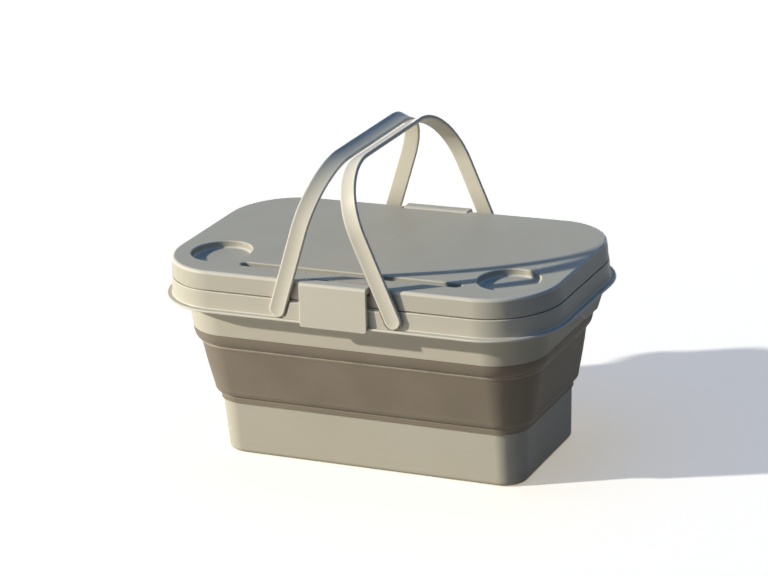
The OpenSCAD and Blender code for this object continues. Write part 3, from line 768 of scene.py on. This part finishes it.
class CRATE_OT_rim(Operator):
    """Sweeps skirt, flange and band, joins end grip tabs and catch plates, and bores the pivots"""

    bl_idname = "crate.make_rim"
    bl_label = "Rim"

    SKIRT_IN_ROUND, SKIRT_OUT_ROUND, ROOT_ROUND, LIP_SLACK = 0.0005, 0.0007, 0.0015, 0.00005
    BAND_FOOT_ROUND, BAND_TOP_ROUND, BAND_IN_ROUND = 0.0012, 0.001, 0.0006
    TAB_TOP, TAB_FOOT, TAB_DROP, TAB_THICK = 0.035, 0.018, 0.011, 0.0026
    TAB_ROUND, TAB_EASE, TAB_SLACK = 0.004, 0.0007, 0.00004
    CATCH_ROUND, CATCH_EASE, CATCH_SINK = 0.002, 0.0008, 0.0008
    BORE_REACH = 0.16

    def execute(self, context):
        s = sizes()
        ledge = s.flange_height + s.flange_thick
        lip = s.flange_thick / 2 - self.LIP_SLACK
        band_top = s.band_reach - s.band_draft
        path = rounded_path([
            (s.skirt_low - s.skirt_wall, s.skirt_height, self.SKIRT_IN_ROUND),
            (s.skirt_low, s.skirt_height, self.SKIRT_OUT_ROUND),
            (s.skirt_top, s.flange_height, self.ROOT_ROUND),
            (s.flange_reach, s.flange_height, lip),
            (s.flange_reach, ledge, lip),
            (s.band_reach, ledge, self.BAND_FOOT_ROUND),
            (band_top, s.parting_height, self.BAND_TOP_ROUND),
            (band_top - s.band_wall, s.parting_height, self.BAND_IN_ROUND),
            (band_top - s.band_wall, ledge, self.BAND_TOP_ROUND),
            (s.skirt_top - s.skirt_wall, ledge, self.BAND_FOOT_ROUND),
        ])
        rim = sweep("rim", path, centre=corner_centre())
        for turn in (FRONT, BACK):
            add_on(rim, self.end_tab(turn))
        for outward in (-1, 1):
            add_on(rim, self.catch_plate(outward))
        for _, side in SIDES:
            bore = turned_bar("bore", s.journal_radius + RUNNING_FIT, 2 * self.BORE_REACH)
            pivot = (side * s.pivot_along, self.BORE_REACH, s.pivot_height)
            cut(rim, place(bore, pivot, (math.pi / 2, 0, 0)))
        shade(rim)
        finish = shell_finish("rim_plastic", seed=2.0, roughness=0.42, dust=0.06, marks=0.5, pale=0.3)
        hand_over(rim, finish, "rim", "rim_frame")
        return {"FINISHED"}

    def end_tab(self, turn):
        """The grip tab under the flange at the right end, turned to the left end if asked."""
        s = sizes()
        inside = s.corner_along + s.flange_reach - self.TAB_THICK
        top = s.flange_height + s.flange_thick / 2
        low = s.flange_height - self.TAB_DROP
        outline = rounded_path([
            (self.TAB_TOP, top, 0),
            (self.TAB_FOOT, low, self.TAB_ROUND),
            (-self.TAB_FOOT, low, self.TAB_ROUND),
            (-self.TAB_TOP, top, 0),
        ])
        tab = prism("tab", facing_end(outline, inside), (self.TAB_THICK - self.TAB_SLACK, 0, 0))
        ease_edges(tab, self.TAB_EASE)
        return place(tab, turn=(0, 0, turn))

    def catch_plate(self, outward):
        """A raised plate between the handles at the front or back, hollowed around their feet."""
        s = sizes()
        hollow = s.handle_width / 2 + s.catch_gap
        ledge = s.flange_height + s.flange_thick - self.CATCH_SINK
        top = s.parting_height - self.CATCH_ROUND / 2
        low = -math.degrees(math.asin((s.pivot_height - ledge) / hollow))
        ends = []
        for _, side in SIDES:
            foot = arc_path((0, s.pivot_height), hollow, low, -math.degrees(lean(side)), SMALL_STEPS)
            rise = top - foot[-1].y
            corner = foot[-1] + Vector((rise * math.tan(lean(side)), rise))
            corners = [(p.x, p.y, 0) for p in foot] + [(corner.x, corner.y, self.CATCH_ROUND)]
            ends.append([(side * (s.pivot_along - x), z, r) for x, z, r in corners])
        root = s.band_wall / 2 + s.band_draft
        inside = s.corner_across + s.band_reach - root
        outline = facing_front(rounded_path(ends[0] + ends[1][::-1]), outward * inside)
        plate = prism("catch", outline, (0, outward * (root + s.catch_thick), 0))
        ease_edges(plate, self.CATCH_EASE, segments=3)
        return plate


class CRATE_OT_lid(Operator):
    """Sweeps the lid, joins its bosses and ribs, and cuts cups, slot, hinge notches and rib windows"""

    bl_idname = "crate.make_lid"
    bl_label = "Lid"

    PLATE_ROUND, WALL_ROUND, RIB_ROUND, GROOVE_ROUND = 0.002, 0.001, 0.0006, 0.0006
    GROOVE_DEPTH, GROOVE_RISE = 0.0023, 0.0016
    RIB_DEPTH, RIB_THICK, RIB_GAP = 0.008, 0.0022, 0.0005
    STIFF_HEIGHT, STIFF_THICK, STIFF_ROWS, STIFF_COLUMNS = 0.004, 0.002, 3, 5
    RECESS_WALL, BOSS_CHAMFER, BOSS_STEPS = 0.0022, 0.0008, 24
    LIP, LIP_ARC, LIP_OUT, LIP_UP, OVER = 0.0014, (180, 96, 5), 0.0006, 0.0004, 0.004
    CUP_TAPER, CUP_FILLET, SLOT_TAPER, SLOT_FILLET = 0.0016, 0.0024, 0.0005, 0.001
    GAP, PIN_SEAT, NOTCH_OUT, NOTCH_UP = 0.0014, 0.006, 0.04, 0.01
    WINDOW_IN, WINDOW_DOWN = 0.003, 0.001

    def execute(self, context):
        lid = self.shell()
        for tool in self.bosses():
            add_on(lid, tool)
        for tool in self.recesses():
            cut(lid, tool)
        shade(lid)
        finish = shell_finish("lid_plastic", seed=3.0, roughness=0.42, dust=0.1, marks=1.0)
        hand_over(lid, finish, "lid", "lid_panel")
        return {"FINISHED"}

    def shell(self):
        s = sizes()
        rib = s.band_reach - s.band_draft - s.band_wall - self.RIB_GAP
        rib_in = rib - self.RIB_THICK
        rib_low = s.parting_height - self.RIB_DEPTH
        top = s.lid_low - s.lid_draft
        inner = top - 2 * s.lid_edge
        groove_in = s.lid_low - self.GROOVE_DEPTH
        groove_top = s.parting_height + self.GROOVE_RISE
        path = rounded_path([
            (inner, s.lid_top - s.lid_plate, 0),
            (top - s.lid_wall, s.lid_top - s.lid_plate, self.PLATE_ROUND),
            (rib_in, s.parting_height + s.lid_wall, self.WALL_ROUND),
            (rib_in, rib_low, self.RIB_ROUND),
            (rib, rib_low, self.RIB_ROUND),
            (rib, s.parting_height, 0),
            (groove_in, s.parting_height, 0),
            (groove_in, groove_top, 0),
            (s.lid_low, groove_top, self.GROOVE_ROUND),
            (top, s.lid_top, s.lid_edge),
            (inner, s.lid_top, 0),
        ])
        return sweep("lid", path, closed=False, centre=corner_centre())

    def front_box(self, half, near, far, low, high, turn=FRONT):
        """A box along the front between two distances from the middle, turned to the back if asked."""
        outline = facing_front([(-half, low), (half, low), (half, high), (-half, high)], -near)
        return place(prism("box", outline, (0, near - far, 0)), turn=(0, 0, turn))

    def notch(self):
        """Back, floor and half width of a hinge notch."""
        s = sizes()
        clear = s.barrel_radius + self.GAP
        return s.barrel_out - clear, s.barrel_height - clear, s.latch_width / 2 + self.GAP

    def bosses(self):
        """What stands under the lid's top: round the cups, the slot and the notches, and the stiffeners."""
        s = sizes()
        under = s.lid_top - s.lid_plate / 2
        cup_low = s.lid_top - s.cup_depth - self.RECESS_WALL
        cup_rise = s.cup_depth + self.RECESS_WALL - s.lid_plate / 2
        for _, side in SIDES:
            radius = s.cup_radius + self.RECESS_WALL
            boss = turned_bar("boss", radius, cup_rise, self.BOSS_CHAMFER, self.BOSS_STEPS)
            yield place(boss, (side * s.cup_along, -s.cup_across, cup_low))
        radius = s.slot_width / 2 + self.RECESS_WALL
        slot_low = s.lid_top - (s.slot_depth + self.RECESS_WALL)
        yield self.slot_body([(0, slot_low), (radius, slot_low), (radius, under), (0, under)])
        back, floor, half = self.notch()
        side_y = s.corner_across + s.lid_low - s.lid_draft
        for turn in (FRONT, BACK):
            yield self.front_box(
                half + self.PIN_SEAT + self.RECESS_WALL, back - self.RECESS_WALL, side_y - s.lid_wall / 2,
                floor - self.RECESS_WALL, s.lid_top - s.lid_edge, turn,
            )
        yield from self.stiffeners(under, back)

    def stiffeners(self, under, back):
        s = sizes()
        low = s.lid_top - s.lid_plate - self.STIFF_HEIGHT
        first = -s.cup_across + s.cup_radius + self.RECESS_WALL
        last = back - self.RECESS_WALL
        half = self.STIFF_THICK / 2
        for row in range(1, self.STIFF_ROWS + 1):
            y = first + row * (last - first) / (self.STIFF_ROWS + 1)
            yield self.front_box(s.corner_along, -y - half, -y + half, low, under)
        for column in range(self.STIFF_COLUMNS):
            x = -s.corner_along + column * 2 * s.corner_along / (self.STIFF_COLUMNS - 1)
            yield place(self.front_box(half, -last, -first, low, under), (x, 0, 0))

    def slot_body(self, path):
        """A path swept round a long slot and set at the slot's place."""
        s = sizes()
        run = (s.slot_length - s.slot_width) / 2
        body = sweep("slot", path, closed=False, centre=(run, 0), steps=LATHE_STEPS)
        return place(body, (0, -s.slot_across, 0))

    def recess_path(self, radius, depth, taper, fillet):
        """Half section of a recess cutter with a filleted floor and a flared lip."""
        top = sizes().lid_top
        low = rounded_path([
            (0, top - depth, 0), (radius - taper, top - depth, fillet), (radius, top - self.LIP, 0)
        ])
        flare = arc_path((radius + self.LIP, top - self.LIP), self.LIP, *self.LIP_ARC)[1:]
        rim = flare[-1].x + self.LIP_OUT
        over = [(rim, top + self.LIP_UP), (rim, top + self.OVER), (0, top + self.OVER)]
        return low + flare + [Vector(p) for p in over]

    def recesses(self):
        """What is cut from the lid: cups, slot, hinge notches with their bores, and rib windows."""
        s = sizes()
        for _, side in SIDES:
            path = self.recess_path(s.cup_radius, s.cup_depth, self.CUP_TAPER, self.CUP_FILLET)
            yield place(sweep("cup", path, closed=False), (side * s.cup_along, -s.cup_across, 0))
        yield self.slot_body(
            self.recess_path(s.slot_width / 2, s.slot_depth, self.SLOT_TAPER, self.SLOT_FILLET)
        )
        back, floor, half = self.notch()
        pin_reach = 2 * (half + self.PIN_SEAT)
        window_low = s.parting_height - self.RIB_DEPTH - self.WINDOW_DOWN
        for turn in (FRONT, BACK):
            yield self.front_box(half, back, back + self.NOTCH_OUT, floor, s.lid_top + self.NOTCH_UP, turn)
            bore = turned_bar("pin_bore", s.pin_radius, pin_reach, steps=SMALL_STEPS)
            place(bore, (-pin_reach / 2, -s.barrel_out, s.barrel_height), (0, math.pi / 2, 0))
            yield place(bore, turn=(0, 0, turn))
            for _, side in SIDES:
                window = self.front_box(
                    s.cap_radius + 2 * self.RIB_GAP, s.journal_end - self.WINDOW_IN, s.leg_out,
                    window_low, s.parting_height, turn,
                )
                yield place(window, (side * s.pivot_along, 0, 0))


class CRATE_OT_latches(Operator):
    """Extrudes the latch plate with its hinge barrel, rounds it, adds cheeks and copies it to the back"""

    bl_idname = "crate.make_latches"
    bl_label = "Latches"

    GAP, STAND_OFF = 0.0005, 0.0085
    TOP_ROUND, WEB_ROUND, BARREL_ARC = 0.0032, 0.0012, (90, 330, 16)
    FACE_EASE, CHEEK_EASE, SHARP = 0.0009, 0.0005, 55
    CHEEK_SINK, CHEEK_INSET = 0.0004, 0.0002
    CORNER_OVER, BORE_REACH = 0.003, 0.05

    def execute(self, context):
        front = self.latch()
        back = place(copy_piece(front, "latch_plate_back"), turn=(0, 0, BACK))
        finish = shell_finish("latch_plastic", seed=5.0, roughness=0.40, dust=0.05, marks=1.0, pale=0.55)
        hand_over(front, finish, "front_latch", "latch_front")
        hand_over(back, finish, "back_latch", "latch_back")
        return {"FINISHED"}

    def latch(self):
        s = sizes()
        half = s.latch_width / 2
        face_top = s.corner_across + s.lid_low - s.lid_draft + self.STAND_OFF
        inner_top = face_top - s.latch_plate
        inner_low = s.corner_across + s.flange_reach + self.GAP
        face_low = inner_low + s.latch_plate
        shoulder = s.barrel_height + s.barrel_radius
        web = s.barrel_height - s.barrel_radius / 2
        plate = rounded_path([
            (inner_low, s.latch_foot, 0),
            (face_low, s.latch_foot, 0),
            (face_top, shoulder, self.TOP_ROUND),
            (s.barrel_out, shoulder, 0),
        ])
        barrel = arc_path((s.barrel_out, s.barrel_height), s.barrel_radius, *self.BARREL_ARC)[1:]
        web_root = rounded_path([
            (barrel[-1].x, web, 0), (inner_top, web, self.WEB_ROUND), (inner_low, s.latch_foot, 0)
        ])[1:-1]
        outline = facing_end(plate + barrel + web_root, -half)
        latch = prism("latch_plate_front", outline, (s.latch_width, 0, 0))
        for _, side in SIDES:
            cut(latch, self.corner_tool(side, inner_low, face_low))
        ease_edges(latch, self.FACE_EASE, segments=3, angle=self.SHARP)
        ledge = s.flange_height + s.flange_thick + self.GAP
        cheek_in = s.corner_across + s.band_reach + s.catch_thick + self.GAP
        cheek = facing_end([
            (cheek_in, ledge), (inner_low + self.CHEEK_SINK, ledge),
            (inner_top + s.latch_plate / 2, web), (cheek_in, web),
        ], 0)
        for x in (-half + self.CHEEK_INSET, half - s.latch_plate - self.CHEEK_INSET):
            side = prism("cheek", cheek, (s.latch_plate, 0, 0))
            ease_edges(side, self.CHEEK_EASE, angle=self.SHARP)
            add_on(latch, place(side, (x, 0, 0)))
        bore = turned_bar("pin_bore", s.pin_radius + RUNNING_FIT, 2 * self.BORE_REACH, steps=SMALL_STEPS)
        cut(latch, place(bore, (-self.BORE_REACH, -s.barrel_out, s.barrel_height), (0, math.pi / 2, 0)))
        shade(latch)
        return latch

    def corner_tool(self, side, inner, face):
        """What is cut away outside the round at one of the plate's lower corners."""
        s = sizes()
        half, foot, radius, over = s.latch_width / 2, s.latch_foot, s.latch_corner, self.CORNER_OVER
        outline = arc_path((half - radius, foot + radius), radius, -90, 0, SMALL_STEPS)
        outline += [(half + over, foot + radius), (half + over, foot - over), (half - radius, foot - over)]
        mirrored = [(side * x, z) for x, z in outline]
        return prism("corner", facing_front(mirrored, -face - over), (0, face - inner + 2 * over, 0))


class CRATE_OT_handles(Operator):
    """Extrudes a handle's dished section up its leg, spins corner and round end, and leans both handles"""

    bl_idname = "crate.make_handles"
    bl_label = "Handles"

    LEG_ROWS, BAR_ROWS, CORNER_ROWS, END_ROWS = 6, 4, 22, 20
    EDGE_ROWS, DISH_ROWS = 4, 8
    JOURNAL_SINK, JOURNAL_ROUND, BORE_ROUND = 0.002, 0.0005, 0.0003

    def execute(self, context):
        s = sizes()
        master = self.raised_handle()
        finish = shell_finish("handle_plastic", seed=7.0, roughness=0.38, dust=0.05, marks=0.8, pale=1.0)
        for name, side in SIDES:
            handle = copy_piece(master, "handle_band_" + name)
            place(handle, (side * s.pivot_along, 0, s.pivot_height), (0, -side * lean(side), 0))
            shade(handle)
            hand_over(handle, finish, name + "_handle", "handle_" + name)
        bpy.data.meshes.remove(master.data)
        return {"FINISHED"}

    def section(self):
        """Half of the band's section, from its inner middle round to its outer middle."""
        s = sizes()
        edge, thick = s.handle_edge, s.handle_thick
        dish_half = s.handle_width / 2 - edge
        path = [Vector((0, 0)), Vector((dish_half / 2, 0))]
        path += arc_path((dish_half, edge), edge, -90, 0, self.EDGE_ROWS)
        path += arc_path((dish_half, thick - edge), edge, 0, 90, self.EDGE_ROWS)
        for k in range(1, self.DISH_ROWS + 1):
            x = dish_half * (1 - k / self.DISH_ROWS)
            path.append(Vector((x, thick - s.handle_dish * (1 - (x / dish_half) ** 2))))
        return path

    def raised_handle(self):
        s = sizes()
        leg = s.handle_reach - s.handle_corner
        bar = s.leg_out - s.handle_corner
        half = self.section()
        whole = half + [Vector((-p.x, p.y)) for p in half[-2:0:-1]]
        line = [Vector((p.x, -s.leg_out - p.y, 0)) for p in whole]
        handle = start_piece("handle_master", line[0])
        draw_line(handle, line, True)
        for _ in range(self.LEG_ROWS):
            extrude((0, 0, leg / self.LEG_ROWS))
        bpy.ops.mesh.spin(
            steps=self.CORNER_ROWS, angle=-math.pi / 2, center=(0, -bar, leg), axis=(-1, 0, 0)
        )
        for _ in range(self.BAR_ROWS):
            extrude((0, bar / self.BAR_ROWS, 0))
        select_points(handle, lambda p: abs(p.z) < TOUCH and p.x > -TOUCH and p.y < -s.leg_out / 2)
        bpy.ops.mesh.spin(steps=self.END_ROWS, angle=-math.pi, center=(0, 0, 0), axis=(0, 1, 0))
        bpy.ops.object.mode_set(mode="OBJECT")
        apply_modifier(handle, "MIRROR", use_axis=(False, True, False), merge_threshold=TOUCH)
        clean_up(handle)
        for turn in (FRONT, BACK):
            add_on(handle, self.journal(turn))
        return handle

    def journal(self, turn):
        """A journal on a leg's inner face, with the screw's bore in its end."""
        s = sizes()
        root = s.leg_out - s.journal_end + self.JOURNAL_SINK
        path = rounded_path([
            (0, SCREW_DEPTH, 0), (s.pin_radius, SCREW_DEPTH, 0), (s.pin_radius, 0, self.BORE_ROUND),
            (s.journal_radius, 0, self.JOURNAL_ROUND), (s.journal_radius, root, 0), (0, root, 0),
        ])
        journal = sweep("journal", path, closed=False, steps=LATHE_STEPS)
        place(journal, (0, -s.journal_end, 0), (math.pi / 2, 0, 0))
        return place(journal, turn=(0, 0, turn))


class CRATE_OT_fixings(Operator):
    """Turns the hinge pins, retaining caps and cap screws, and copies each to its places"""

    bl_idname = "crate.make_fixings"
    bl_label = "Pins, caps and screws"

    PIN_OVER, PIN_CHAMFER = 0.013, 0.0004
    CAP_FOOT_ROUND, CAP_ROUND, HEAD_ROOM = 0.0003, 0.0008, 0.0008
    HEAD_RISE, HEAD_FOOT_ROUND, HEAD_ROUND, SCREW_POINT = 0.0018, 0.0002, 0.0012, 0.0004
    SLOT_ARM, SLOT_BLADE, SLOT_FLOOR = 0.0018, 0.00035, 0.45

    def execute(self, context):
        steel = steel_finish()
        plastic = shell_finish("cap_plastic", seed=9.0, roughness=0.5, dust=0.05, marks=0.5)
        for end, turn in ENDS:
            pin = self.pin("hinge_pin_" + end, turn)
            hand_over(pin, steel, "lid", "latch_pin_" + end)
            for hand, side in SIDES:
                cap = self.at_pivot(self.cap(f"retaining_cap_{hand}_{end}"), side, turn)
                hand_over(cap, plastic, hand + "_handle", f"pivot_cap_{hand}_{end}")
                screw = self.at_pivot(self.screw(f"cap_fixing_{hand}_{end}"), side, turn)
                hand_over(screw, steel, hand + "_handle", f"cap_screw_{hand}_{end}")
        return {"FINISHED"}

    def pin(self, name, turn):
        s = sizes()
        reach = s.latch_width + self.PIN_OVER
        pin = turned_bar(name, s.pin_radius, reach, self.PIN_CHAMFER, SMALL_STEPS)
        place(pin, (-reach / 2, -s.barrel_out, s.barrel_height), (0, math.pi / 2, 0))
        place(pin, turn=(0, 0, turn))
        shade(pin)
        return pin

    def at_pivot(self, piece, side, turn):
        """Turns a piece made along Z to look into the crate, and sets it at a leaning handle's pivot."""
        s = sizes()
        place(piece, (0, -s.journal_end, 0), (-math.pi / 2, 0, 0))
        place(piece, turn=(0, 0, turn))
        place(piece, (side * s.pivot_along, 0, s.pivot_height), (0, -side * lean(side), 0))
        shade(piece)
        return piece

    def cap(self, name):
        s = sizes()
        path = rounded_path([
            (s.pin_radius, 0, 0),
            (s.cap_radius, 0, self.CAP_FOOT_ROUND),
            (s.cap_radius, s.cap_thick, self.CAP_ROUND),
            (s.screw_head + self.HEAD_ROOM, s.cap_thick, 0),
            (s.pin_radius, s.cap_thick, 0),
        ])
        return sweep(name, path, steps=LATHE_STEPS)

    def screw(self, name):
        """A screw along Z with its head on the cap's face and a cross slot in the head."""
        s = sizes()
        top = s.cap_thick + self.HEAD_RISE
        path = rounded_path([
            (0, -SCREW_DEPTH, 0),
            (s.pin_radius - self.SCREW_POINT, -SCREW_DEPTH, 0),
            (s.pin_radius, -SCREW_DEPTH + self.SCREW_POINT, 0),
            (s.pin_radius, s.cap_thick, 0),
            (s.screw_head, s.cap_thick, self.HEAD_FOOT_ROUND),
            (s.screw_head, top, self.HEAD_ROUND),
            (0, top, 0),
        ])
        screw = sweep(name, path, closed=False, steps=SMALL_STEPS)
        arm, blade = self.SLOT_ARM, self.SLOT_BLADE
        floor = s.cap_thick + self.HEAD_RISE * self.SLOT_FLOOR
        corners = ((-arm, -blade), (arm, -blade), (arm, blade), (-arm, blade))
        outline = [Vector((*corner, floor)) for corner in corners]
        for turn in (0.0, math.pi / 2):
            slot = prism("slot", outline, (0, 0, self.HEAD_RISE))
            cut(screw, place(slot, turn=(0, 0, turn)))
        return screw


class CRATE_OT_stage(Operator):
    """Lays the pale floor and sets the key light, the soft fill and the camera"""

    bl_idname = "crate.make_stage"
    bl_label = "Stage"

    FLOOR_SIZE, FLOOR_DIM, FLOOR_ROUGH, FLOOR_GLOSS = 16, 0.97, 0.9, 0.1
    GLOW, GLOW_STRENGTH = (1.0, 0.86, 0.6, 1.0), 0.42
    LIGHT_FROM, LIGHT_POWER, LIGHT_SPREAD = Vector((-1.8, -1.0, 0.90)), 3.9, math.radians(1.6)
    SOFTBOX, SKY_FALLOFF = (2.8, 0.2), 3.0
    SOFTBOXES = (
        ("front_fill", Vector((-1.7, -2.0, 0.13)), 27.0, "front"),
        ("back_fill", Vector((-0.8, 2.2, 0.13)), 12.0, "back"),
        ("right_fill", Vector((2.2, 0.3, 0.13)), 2.2, "back"),
    )
    AZIMUTH, ELEVATION, ROLL = math.radians(26.385), math.radians(19.672), math.radians(-3.555)
    FOCUS, IMAGE_WIDTH, SENSOR, FAR_CLIP = 2805.36, 768, 36, 50
    SHIFT_RIGHT, SHIFT_UP, DISTANCE = 0.011782, -0.06421, 3.2192
    AIM = Vector((0, 0, 0.12))

    def execute(self, context):
        self.floor()
        self.key(context.scene)
        for name, place_at, power, tone in self.SOFTBOXES:
            self.softbox(context.scene, name, place_at, power, getattr(colours(), tone))
        self.sky(context.scene)
        self.camera(context.scene)
        context.scene.view_settings.view_transform = "Standard"
        return {"FINISHED"}

    def floor(self):
        bpy.ops.object.select_all(action="DESELECT")
        bpy.ops.mesh.primitive_plane_add(size=self.FLOOR_SIZE)
        floor = bpy.context.object
        floor.name = "floor"
        material, tree, shader = new_material("pale_floor")
        pale = colours().floor
        dimmer = tuple(self.FLOOR_DIM * c for c in pale)
        plain = mix_colour(tree, noise(tree, own_place(tree), 3.0, 3.0), opaque(dimmer), opaque(pale))
        shown = mix_colour(tree, self.seen_share(tree, 1.0), plain, opaque(colours().backdrop))
        join(tree, shown, shader["Base Color"])
        join(tree, self.seen_share(tree, self.GLOW_STRENGTH), shader["Emission Strength"])
        shader["Emission Color"].default_value = self.GLOW
        shader["Roughness"].default_value = self.FLOOR_ROUGH
        shader["Specular IOR Level"].default_value = self.FLOOR_GLOSS
        floor.data.materials.append(material)

    def seen_share(self, tree, strength):
        """A strength for what the camera, mirrors and glass see, and nothing for the light on the crate."""
        path = add_node(tree, "ShaderNodeLightPath").outputs
        seen = math_node(tree, "MAXIMUM", path["Is Camera Ray"], path["Is Glossy Ray"])
        seen = math_node(tree, "MAXIMUM", seen, path["Is Transmission Ray"])
        return math_node(tree, "MULTIPLY", seen, strength)

    def key(self, scene):
        data = bpy.data.lights.new("key", "SUN")
        data.energy = self.LIGHT_POWER
        data.angle = self.LIGHT_SPREAD
        data.color = colours().sun
        lamp = bpy.data.objects.new("key", data)
        lamp.rotation_mode = "QUATERNION"
        lamp.rotation_quaternion = self.LIGHT_FROM.to_track_quat("Z", "Y")
        scene.collection.objects.link(lamp)

    def softbox(self, scene, name, place_at, power, tone):
        """A low wide lamp that faces the crate's middle and lights its sides but not its top."""
        data = bpy.data.lights.new(name, "AREA")
        data.shape = "RECTANGLE"
        data.size, data.size_y = self.SOFTBOX
        data.energy = power
        data.color = tone
        lamp = bpy.data.objects.new(name, data)
        lamp.location = place_at
        lamp.rotation_euler = (place_at - self.AIM).to_track_quat("Z", "Y").to_euler()
        lamp.visible_camera = False
        scene.collection.objects.link(lamp)

    def sky(self, scene):
        """White where it is seen, and as light a cool fill that is strongest straight above."""
        world = bpy.data.worlds.new("studio")
        world.use_nodes = True
        scene.world = world
        tree = world.node_tree
        towards = add_node(tree, "ShaderNodeTexCoord").outputs["Generated"]
        height = add_node(tree, "ShaderNodeSeparateXYZ", {0: towards}).outputs["Z"]
        share = math_node(tree, "POWER", math_node(tree, "MAXIMUM", height, 0.0), self.SKY_FALLOFF)
        fill = tree.nodes["Background"]
        join(tree, mix_colour(tree, share, BLACK, opaque(colours().sky)), fill.inputs["Color"])
        white = add_node(tree, "ShaderNodeBackground", {"Color": WHITE, "Strength": 1.0})
        shaders = {0: self.seen_share(tree, 1.0), 1: fill.outputs[0], 2: white.outputs[0]}
        both = add_node(tree, "ShaderNodeMixShader", shaders)
        join(tree, both.outputs[0], tree.nodes["World Output"].inputs["Surface"])

    def camera(self, scene):
        """A camera at the photograph's viewing angle, roll, focal length and framing."""
        right = Vector((math.cos(self.AZIMUTH), math.sin(self.AZIMUTH), 0))
        flat = math.cos(self.ELEVATION)
        back = Vector((
            math.sin(self.AZIMUTH) * flat, -math.cos(self.AZIMUTH) * flat, math.sin(self.ELEVATION)
        ))
        up = back.cross(right)
        tilted_right = right * math.cos(self.ROLL) + up * math.sin(self.ROLL)
        tilted_up = up * math.cos(self.ROLL) - right * math.sin(self.ROLL)
        place_at = self.AIM + back * self.DISTANCE
        place_at -= tilted_right * self.SHIFT_RIGHT
        place_at -= tilted_up * self.SHIFT_UP
        data = bpy.data.cameras.new("camera")
        data.lens = self.FOCUS * self.SENSOR / self.IMAGE_WIDTH
        data.sensor_width = self.SENSOR
        data.clip_end = self.FAR_CLIP
        camera = bpy.data.objects.new("camera", data)
        scene.collection.objects.link(camera)
        axes = Matrix((tilted_right, tilted_up, back)).transposed()
        camera.matrix_world = Matrix.Translation(place_at) @ axes.to_4x4()
        scene.camera = camera


OPERATORS = (
    CRATE_OT_stage, CRATE_OT_tub, CRATE_OT_wall, CRATE_OT_rim, CRATE_OT_lid,
    CRATE_OT_latches, CRATE_OT_handles, CRATE_OT_fixings,
)


class CRATE_PT_panel(Panel):
    """Lists the crate's pieces in the sidebar"""

    bl_label = "Collapsible crate"
    bl_idname = "CRATE_PT_panel"
    bl_space_type = "VIEW_3D"
    bl_region_type = "UI"
    bl_category = "Crate"

    def draw(self, context):
        for operator in OPERATORS:
            self.layout.operator(operator.bl_idname)
        for group in (context.scene.crate_sizes, context.scene.crate_colours):
            column = self.layout.column()
            for name in group.__annotations__:
                column.prop(group, name)


CLASSES = (CrateSizes, CrateColours, *OPERATORS, CRATE_PT_panel)


def register():
    for each in CLASSES:
        bpy.utils.register_class(each)
    bpy.types.Scene.crate_sizes = PointerProperty(type=CrateSizes)
    bpy.types.Scene.crate_colours = PointerProperty(type=CrateColours)


def unregister():
    del bpy.types.Scene.crate_colours
    del bpy.types.Scene.crate_sizes
    for each in reversed(CLASSES):
        bpy.utils.unregister_class(each)


def main():
    register()
    bpy.ops.crate.make_stage()
    bpy.ops.crate.make_tub()
    bpy.ops.crate.make_wall()
    bpy.ops.crate.make_rim()
    bpy.ops.crate.make_lid()
    bpy.ops.crate.make_latches()
    bpy.ops.crate.make_handles()
    bpy.ops.crate.make_fixings()


if __name__ == "__main__":
    main()
